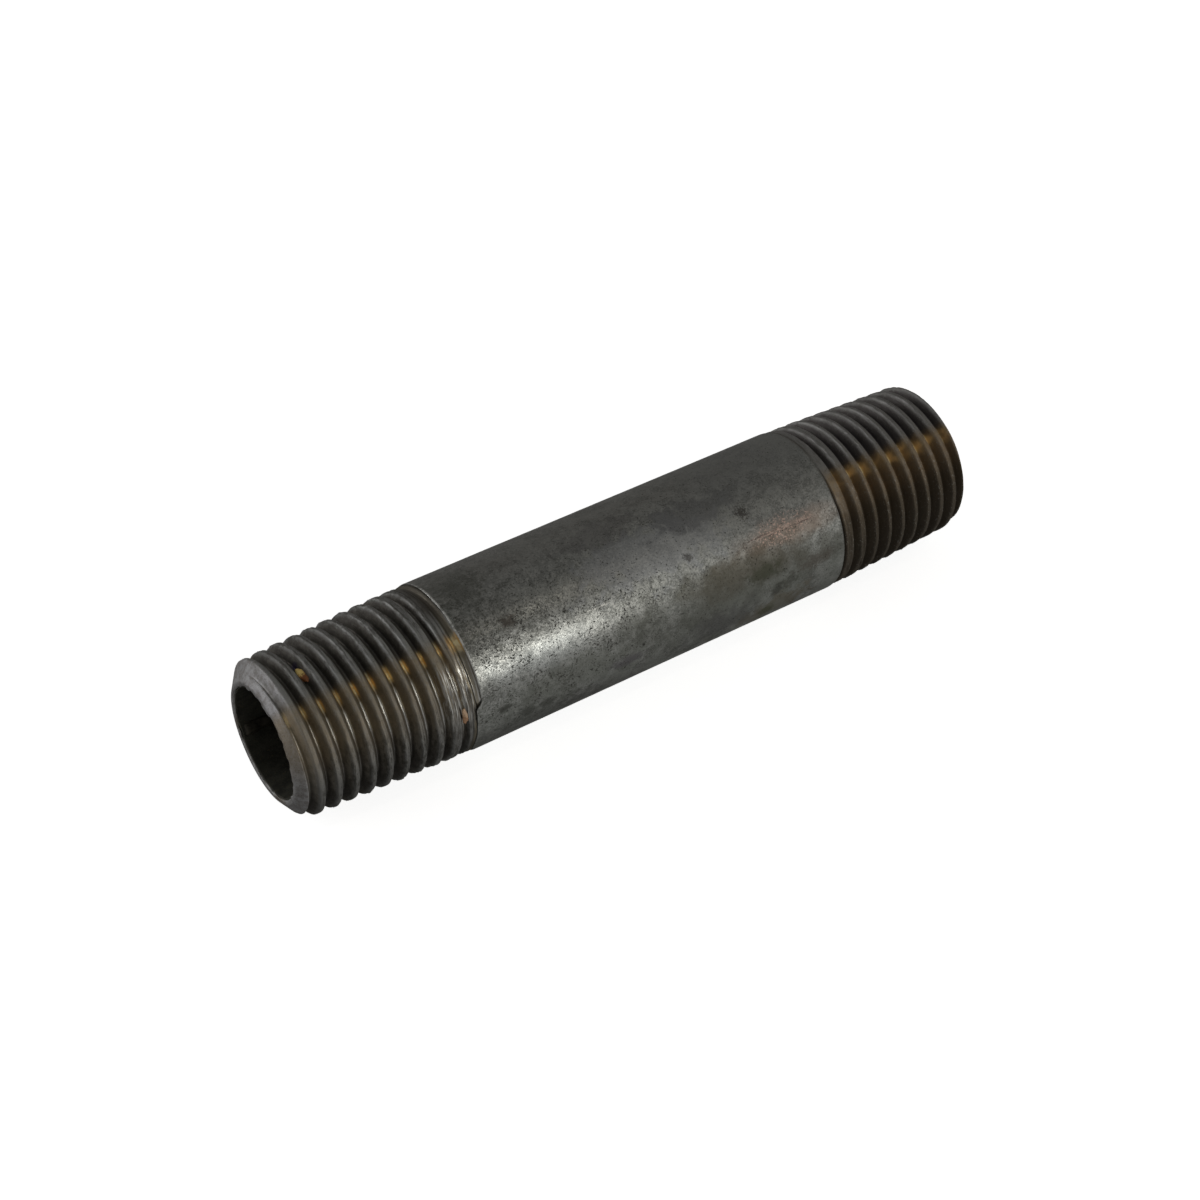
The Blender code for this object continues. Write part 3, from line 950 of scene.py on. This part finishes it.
def zinc_patterns(g):
    """The mesh layers and the noises that the zinc's stages share."""
    m = g.layers("pit", "side", "along", "rim")
    m.broad = g.noise(0.22, 3, 0.55, distort=0.6)
    m.cloud = g.noise(0.75, 4, 0.62, distort=0.4)
    m.mid = g.noise(2.1, 4, 0.66, distort=0.5)
    m.grain = g.noise(6.5, 4, 0.7)
    m.drift = g.noise(0.55, 2, 0.5)
    m.seen = g.step(g.gap(m.side, 45), 120, 94)
    return m


def mottled_zinc(g, m):
    """Grey zinc, light and dark in clouds of four sizes."""
    colour = g.mix(g.step(m.broad, 0.36, 0.64), (0.17, 0.172, 0.162), (0.27, 0.275, 0.265))
    clouds = (
        (m.cloud, 0.44, 0.62, 0.65, (0.37, 0.375, 0.36)),
        (m.cloud, 0.46, 0.34, 0.58, (0.13, 0.132, 0.122)),
        (m.mid, 0.52, 0.63, 0.44, (0.43, 0.43, 0.41)),
        (m.mid, 0.47, 0.36, 0.56, (0.1, 0.103, 0.093)),
        (m.grain, 0.51, 0.63, 0.5, (0.5, 0.5, 0.475)),
        (m.grain, 0.47, 0.36, 0.5, (0.085, 0.085, 0.076)),
    )
    for pattern, low, high, strength, tint in clouds:
        colour = g.mix(g.step(pattern, low, high, 0.0, strength), colour, tint)
    return colour


def patches(g, m, colour, table):
    """The patches of one table, laid over the colour one after another."""
    for x, degrees, length, width, tint, strength, soft, wobble, amount in table:
        centre = spot(x, degrees, PATCH_RADIUS)
        share = g.blob(centre, length, width, soft, getattr(m, wobble), amount)
        colour = g.mix(g.times(share, strength), colour, tint)
    return colour


def haze(g, m, colour):
    """A warm haze along the top, and an even grey over the far half."""
    warm = g.times(g.step(m.side, 22, -14), g.step(m.cloud, 0.3, 0.7, 0.35, 0.7), m.seen)
    colour = g.mix(warm, colour, (0.212, 0.204, 0.188))
    calm = g.times(g.step(m.along, 3, 10, 0.0, 0.45), g.step(m.side, 56, 40), m.seen)
    return g.mix(calm, colour, (0.225, 0.228, 0.222))


def scratches(g, m, colour):
    """The scratches, and the pink rust beside them."""
    for x, degrees, length, width, tint in SCRATCHES:
        line = g.blob(spot(x, degrees, PATCH_RADIUS), length, width, 0.5, m.grain, 1.8)
        colour = g.mix(g.times(line, g.step(m.mid, 0.42, 0.56, 0.15, 0.8)), colour, tint)
    pink = g.blob(spot(12.2, 51, PATCH_RADIUS), 2.6, 1.0, 0.5, m.cloud, 0.6)
    return g.mix(g.times(pink, g.step(m.grain, 0.53, 0.63), 0.8), colour, (0.62, 0.4, 0.33))


def black_pores(g, m):
    """1 in the fine black pores, which crowd the near part of the side that shows."""
    near = g.times(g.step(m.along, 6, -9), g.between(m.side, 8, 40, 122, 84))
    cluster = g.step(g.noise(0.9, 4, 0.65), 0.38, 0.66)
    crowd = g.times(g.math("MULTIPLY_ADD", near, 0.6, 0.22), g.math("MULTIPLY_ADD", cluster, 0.75, 0.25))
    limit = g.math("MULTIPLY_ADD", crowd, -0.165, 0.67)
    pores = g.noise(7.0, 2, 0.6, stretch=(0.9, 1.0, 1.0), distort=0.4)
    return g.step(g.math("SUBTRACT", pores, limit), 0.0, 0.035)


def cut_edge(g, m, colour):
    """Zinc that the die has cut: a bright line at the near end, partly bare zinc and partly a painted
    highlight on the sides where the light catches it, and dull at the far end.
    """
    cut = g.times(g.step(m.rim, 0.35, 0.6), g.step(m.mid, 0.38, 0.56, 0.3, 1.0),
                  g.step(m.side, -28, 2, 0.35, 1.0), g.step(m.side, 60, 46, 0.15, 1.0), 0.88)
    return g.mix(cut, colour, g.mix(g.step(m.along, -5, 5), (0.78, 0.78, 0.75), (0.17, 0.16, 0.145)))


def weathered_zinc():
    g = Finish("weathered_zinc_pitted")
    m = zinc_patterns(g)
    colour = patches(g, m, mottled_zinc(g, m), PATCHES_UNDER_HAZE)
    colour = patches(g, m, haze(g, m, colour), PATCHES_OVER_HAZE)
    # Lighter greenish zinc on the lower front: partly the zinc's own tint, partly painted light from the
    # table in front
    green = g.times(g.step(m.side, 62, 95), g.step(m.broad, 0.35, 0.6, 0.1, 0.45))
    colour = g.mix(green, colour, (0.275, 0.288, 0.26))
    colour = scratches(g, m, patches(g, m, colour, PATCHES_OVER_GREEN))
    pores = black_pores(g, m)
    dark = g.most(g.step(m.pit, 0.35, 0.85, 0.0, 0.7), pores)
    dark = g.times(dark, g.step(m.mid, 0.3, 0.6, 1.0, 0.7))
    colour = cut_edge(g, m, g.mix(g.times(dark, 0.88), colour, (0.042, 0.04, 0.034)))

    rough = g.step(m.grain, 0.4, 0.6, 0.33, 0.27)
    for rougher in (g.times(dark, 0.35), g.step(m.cloud, 0.4, 0.7, 0.06, 0.0),
                    g.step(m.along, -12, 6, 0.0, 0.2)):
        rough = g.math("ADD", rough, rougher)
    normal = g.bump(g.noise(2.2, 4, 0.6), 0.22, 0.05)
    normal = g.bump(m.grain, 0.25, 0.015, Normal=normal)
    normal = g.bump(g.noise(16.0, 3, 0.6), 0.5, 0.01, Normal=normal)
    normal = g.bump(g.times(pores, -1.0), 0.5, 0.02, Normal=normal)
    return g.set(Base_Color=colour, Roughness=rough, Metallic=0.72, Normal=normal)


# -------- the other finishes

def bore_zinc():
    g = Finish("bore_zinc_dark")
    crust = g.noise(1.2, 4, 0.65, stretch=(0.6, 1.0, 1.0))
    grain = g.noise(7.0, 3, 0.6)
    colour = g.mix(g.step(crust, 0.3, 0.7), (0.036, 0.036, 0.029), (0.08, 0.078, 0.06))
    colour = g.mix(g.step(grain, 0.6, 0.75, 0.0, 0.8), colour, (0.2, 0.16, 0.08))
    rough = g.step(grain, 0.3, 0.7, 0.55, 0.8)
    return g.set(Base_Color=colour, Roughness=rough, Metallic=0.55, Normal=g.bump(grain, 0.6, 0.04))


def weld_metal():
    g = Finish("weld_metal_dark")
    grain = g.noise(5.0, 4, 0.65)
    colour = g.mix(g.step(grain, 0.3, 0.7), (0.045, 0.04, 0.032), (0.085, 0.075, 0.058))
    rough = g.step(grain, 0.3, 0.7, 0.45, 0.66)
    return g.set(Base_Color=colour, Roughness=rough, Metallic=0.7, Normal=g.bump(grain, 0.3, 0.05))


def crumb_finish(name, dark, light):
    """Light at one tip of the crumb and dark at the other, with a ragged border between them."""
    g = Finish(name)
    grain = g.noise(5.0, 3, 0.6)
    border = g.math("ADD", g.layer("share"), g.math("MULTIPLY_ADD", grain, 2.0, -1.0))
    colour = g.mix(g.step(border, -0.3, 0.3), light, dark)
    return g.set(Base_Color=colour, Roughness=g.step(grain, 0.3, 0.7, 0.38, 0.62),
                 Normal=g.bump(grain, 0.6, 0.05))


# -------- the set

# The camera fitted to the photograph: its axes, the point it looks at, and where it stands from it
FORWARD = Vector((0.4212, 0.6275, -0.6547)).normalized()
RIGHT = Vector((0.8303, -0.5573, 0.0)).normalized()
UP = RIGHT.cross(FORWARD)
LOOKED_AT = Vector((-1.518, 0.0, 0.0))
STEP_BACK = 193.2
STEP_DOWN = 0.334
SENSOR_WIDTH = 36.0
FOCAL_LENGTH = 72.78

# The floor's half width in metres, its grey and its glow
FLOOR_REACH = 4.0
FLOOR_GREY = (0.8, 0.8, 0.8)
FLOOR_GLOW = 0.84

# Area lights: name, direction, distance, width, height, watts, colour, and the way the height runs,
# where that isn't upwards
LIGHTS = (
    ("key", (0.34, -0.87, 0.36), 520, 40, 210, 0.3, (1.0, 0.985, 0.9)),
    ("key_halo", (0.345, -0.86, 0.37), 530, 110, 420, 0.21, (1.0, 0.995, 0.97)),
    ("top_strip", (0.43, -0.37, 0.82), 520, 300, 16, 0.065, (1.0, 0.93, 0.8), (0.0, 0.9, 0.3)),
    ("back_panel", (-0.5, 0.78, 0.37), 520, 160, 260, 0.2, (1.0, 0.99, 0.96)),
    ("left_panel", (-0.84, 0.45, 0.22), 520, 520, 340, 0.75, (0.97, 0.98, 1.0)),
)

# The surrounding light from straight below, 0, to straight above, 1, and its tint
SKY_LEVELS = ((0.0, 0.04), (0.25, 0.115), (0.46, 0.165), (0.58, 0.195), (0.75, 0.165), (1.0, 0.15))
SKY_TINT = (1.0, 0.99, 0.955)
BACKDROP = (0.93, 0.93, 0.93)
# Light thrown back by the table in front of the nipple: where it comes from and how strong it is
BOUNCE_FROM = Vector((0.22, -0.82, -0.5)).normalized()
BOUNCE_LEVEL = 0.3


def stand(name, data, axes, position):
    """Puts a camera or a light in the scene, from its own three axes and its position."""
    obj = new_object(name, data)
    obj.matrix_world = Matrix.Translation(position * MM) @ Matrix(axes).transposed().to_4x4()
    return obj


def camera():
    data = bpy.data.cameras.new("camera")
    data.sensor_width = SENSOR_WIDTH
    data.lens = FOCAL_LENGTH
    data.clip_start = 0.01
    data.clip_end = 20.0
    position = LOOKED_AT - STEP_BACK * FORWARD - STEP_DOWN * UP
    bpy.context.scene.camera = stand("camera", data, (RIGHT, UP, -FORWARD), position)


def area_light(name, direction, distance, width, height, power, colour, along=(0, 0, 1)):
    """A soft box facing the nipple; its height runs along the given direction as nearly as it can."""
    data = bpy.data.lights.new(name, "AREA")
    data.shape = "RECTANGLE"
    data.size = width * MM
    data.size_y = height * MM
    data.energy = power
    data.color = colour
    back = Vector(direction).normalized()
    across = Vector(along).cross(back).normalized()
    stand(name, data, (across, back.cross(across), back), back * distance)


def pale_floor():
    z = FLOOR * MM
    corners = [(x * FLOOR_REACH, y * FLOOR_REACH, z) for x, y in ((-1, -1), (1, -1), (1, 1), (-1, 1))]
    mesh = bpy.data.meshes.new("floor")
    mesh.from_pydata(corners, [], [(0, 1, 2, 3)])
    material = Finish("pale_floor").set(Base_Color=FLOOR_GREY, Roughness=1.0, Specular_IOR_Level=0.0,
                                        Emission_Color=(1, 1, 1), Emission_Strength=FLOOR_GLOW)
    mesh.materials.append(material)
    obj = new_object("floor", mesh)
    # Its glow lights nothing and shows in nothing
    obj.visible_diffuse = False
    obj.visible_glossy = False


def surroundings():
    """Soft light from all round, and a plain pale backdrop where the camera sees past the floor."""
    world = bpy.data.worlds.new("studio")
    bpy.context.scene.world = world
    world.use_nodes = True
    g = Nodes(world.node_tree)
    direction = g.node("TexCoord", {}).outputs["Generated"]
    height = g.node("SeparateXYZ", {0: direction}).outputs["Z"]
    ramp = g.node("ValToRGB", {0: g.math("MULTIPLY_ADD", height, 0.5, 0.5)})
    stops = ramp.color_ramp.elements
    for position, level in SKY_LEVELS[1:-1]:
        stops.new(position)
    for stop, (position, level) in zip(stops, SKY_LEVELS):
        stop.color = (*(level * tint for tint in SKY_TINT), 1)
    toward = g.vector("DOT_PRODUCT", direction, BOUNCE_FROM)
    bounce = g.step(toward, 0.55, 0.99, 0.0, BOUNCE_LEVEL)
    sky = g.tree.nodes["Background"]
    g.feed(sky.inputs["Color"], g.vector("ADD", ramp.outputs[0], bounce))
    backdrop = g.node("Background", {"Color": BACKDROP})
    seen = g.node("LightPath", {}).outputs["Is Camera Ray"]
    either = g.node("MixShader", {0: seen, 1: sky.outputs[0], 2: backdrop.outputs[0]})
    g.feed(g.tree.nodes["World Output"].inputs["Surface"], either.outputs[0])


def studio():
    settings = bpy.context.scene.view_settings
    settings.view_transform = "Standard"
    settings.look = "None"
    surroundings()
    for light in LIGHTS:
        area_light(*light)


# -------- all together

camera()
pale_floor()
studio()
steel_pipe(threaded_steel())
zinc_barrel(weathered_zinc())
bore_lining(bore_zinc())
weld_ridge(weld_metal())
crumb("crumb_gold", -28.26, 8.5, 5.88, (0.74, 0.42, 0.19), 71,
      crumb_finish("crumb_gold", (0.2, 0.07, 0.02), (0.78, 0.58, 0.2)))
crumb("crumb_tan", -18.02, 83.3, 6.6, (0.62, 0.26, 0.16), 72,
      crumb_finish("crumb_tan", (0.4, 0.22, 0.12), (0.62, 0.42, 0.27)))

bpy.context.view_layer.update()
